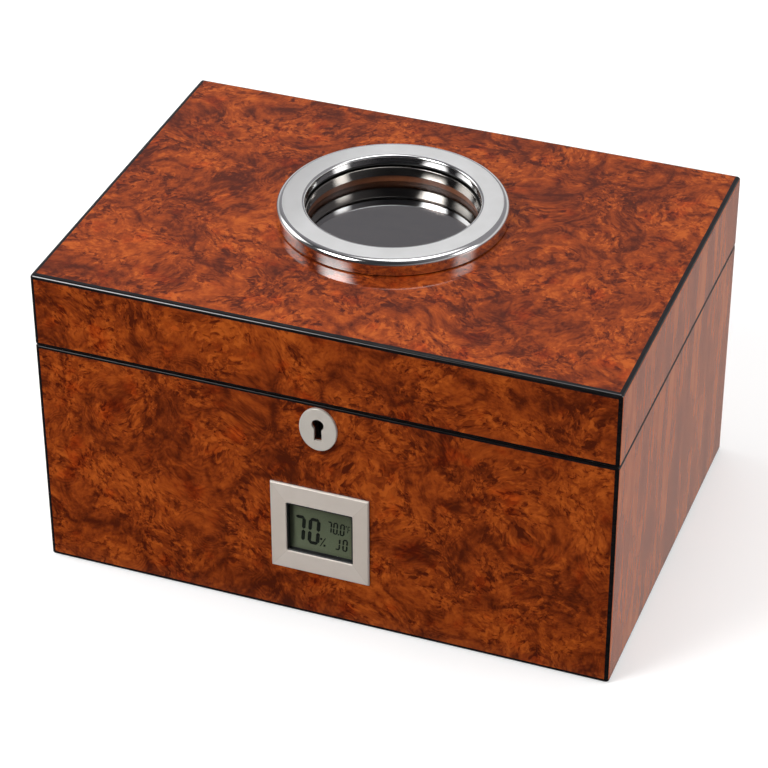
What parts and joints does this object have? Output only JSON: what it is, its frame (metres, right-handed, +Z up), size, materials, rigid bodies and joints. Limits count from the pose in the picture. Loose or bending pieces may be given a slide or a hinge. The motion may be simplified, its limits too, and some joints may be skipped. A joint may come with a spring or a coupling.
{
  "type": "desktop cigar humidor",
  "caption": "Burl-veneered cigar box with black edge binding, hinged lid with a round chrome-ringed window, keyed lock and digital hygrometer.",
  "frame": {"origin": "middle of the felt under the box, on the surface it stands on", "axes": "+X to the box's right seen from its front, +Y to its back, +Z up"},
  "size_m": [0.33, 0.2392, 0.1975],
  "materials": {
    "burl_veneer": "high-gloss lacquer over burl veneer",
    "straight_veneer": "high-gloss lacquer over straight-grained veneer",
    "black_binding": "black-dyed wood under gloss lacquer",
    "panel_board": "lacquered board",
    "cedar": "bare sanded cedar",
    "felt": "short-pile felt",
    "chrome": "polished, with a satin top face",
    "satin_metal": "satin nickel",
    "smoked_glass": "clear polished, smoked",
    "clear_lens": "clear polished",
    "black_rubber": "soft matte",
    "steel": "zinc plated",
    "black_plastic": "fine texture",
    "display": "grey-green liquid crystal panel",
    "circuit_board": "solder mask",
    "foam": "wet floral foam",
    "magnet": "nickel plated"
  },
  "bodies": {
    "base": {"base_felt_pad": "felt", "base_floor_panel": "panel_board", "base_front_panel": "panel_board", "base_back_panel": "panel_board", "base_side_panels": "panel_board", "base_front_burl": "burl_veneer", "base_front_binding": "black_binding", "base_side_veneers": "straight_veneer", "base_back_veneer": "straight_veneer", "base_front_liner": "cedar", "base_back_liner": "cedar", "base_side_liners": "cedar", "base_floor_liner": "cedar", "lock_escutcheon": "satin_metal", "lock_case": "satin_metal", "lock_cover": "satin_metal", "hinge_base_leaves": "satin_metal", "hinge_pins": "steel", "base_rim_screws": "steel"},
    "lid": {"lid_top_panel": "panel_board", "lid_front_rail": "panel_board", "lid_back_rail": "panel_board", "lid_side_rails": "panel_board", "lid_top_burl": "burl_veneer", "lid_top_binding": "black_binding", "lid_front_burl": "burl_veneer", "lid_front_binding": "black_binding", "lid_side_veneers": "straight_veneer", "lid_back_veneer": "straight_veneer", "lid_wall_liners": "cedar", "lid_ceiling_liner": "cedar", "window_ring": "chrome", "window_gasket": "black_rubber", "window_sleeve": "chrome", "window_glass": "smoked_glass", "window_seal": "black_rubber", "window_retaining_ring": "black_plastic", "window_screws": "steel", "hinge_lid_leaves": "satin_metal", "lid_rim_screws": "steel", "strike_plate": "satin_metal", "humidifier_lid_plates": "steel"},
    "lock_bolt": {"lock_bolt": "steel"},
    "divider": {"divider": "cedar"},
    "hygrometer": {"hygro_bezel": "satin_metal", "hygro_front_frame": "black_plastic", "hygro_lens": "clear_lens", "hygro_display": "display", "hygro_board": "circuit_board", "hygro_sensor": "black_plastic", "hygro_battery": "steel", "hygro_rear_housing": "black_plastic"},
    "battery_cap": {"hygro_battery_cap": "black_plastic"},
    "left_button": {"hygro_left_button": "black_rubber"},
    "right_button": {"hygro_right_button": "black_rubber"},
    "humidifier": {"humidifier_case": "black_plastic", "humidifier_grille": "black_plastic", "humidifier_foam": "foam", "humidifier_magnets": "magnet"}
  },
  "joints": [
    {"name": "lid_hinge", "type": "hinge", "parent": "base", "child": "lid", "pos_m": [0, 0.1189, 0.1434], "axis": [-1, 0, 0], "range_deg": [0, 95]},
    {"name": "lock_bolt_slide", "type": "slide", "parent": "base", "child": "lock_bolt", "axis": [0, 0, 1], "range_m": [0, 0.0055]},
    {"name": "divider_slide", "type": "slide", "parent": "base", "child": "divider", "axis": [1, 0, 0], "range_m": [-0.035, 0.06]},
    {"name": "hygrometer_pull", "type": "slide", "parent": "base", "child": "hygrometer", "axis": [0, -1, 0], "range_m": [0, 0.024]},
    {"name": "battery_cap_turn", "type": "hinge", "parent": "hygrometer", "child": "battery_cap", "pos_m": [0, -0.0965, 0.0616], "axis": [0, -1, 0], "range_deg": [0, 30]},
    {"name": "left_button_press", "type": "slide", "parent": "hygrometer", "child": "left_button", "axis": [0, -1, 0], "range_m": [0, 0.0008], "stiffness_N_per_m": 400},
    {"name": "right_button_press", "type": "slide", "parent": "hygrometer", "child": "right_button", "axis": [0, -1, 0], "range_m": [0, 0.0008], "stiffness_N_per_m": 400},
    {"name": "humidifier_pull", "type": "slide", "parent": "lid", "child": "humidifier", "axis": [0, 0, -1], "range_m": [0, 0.02]}
  ]
}
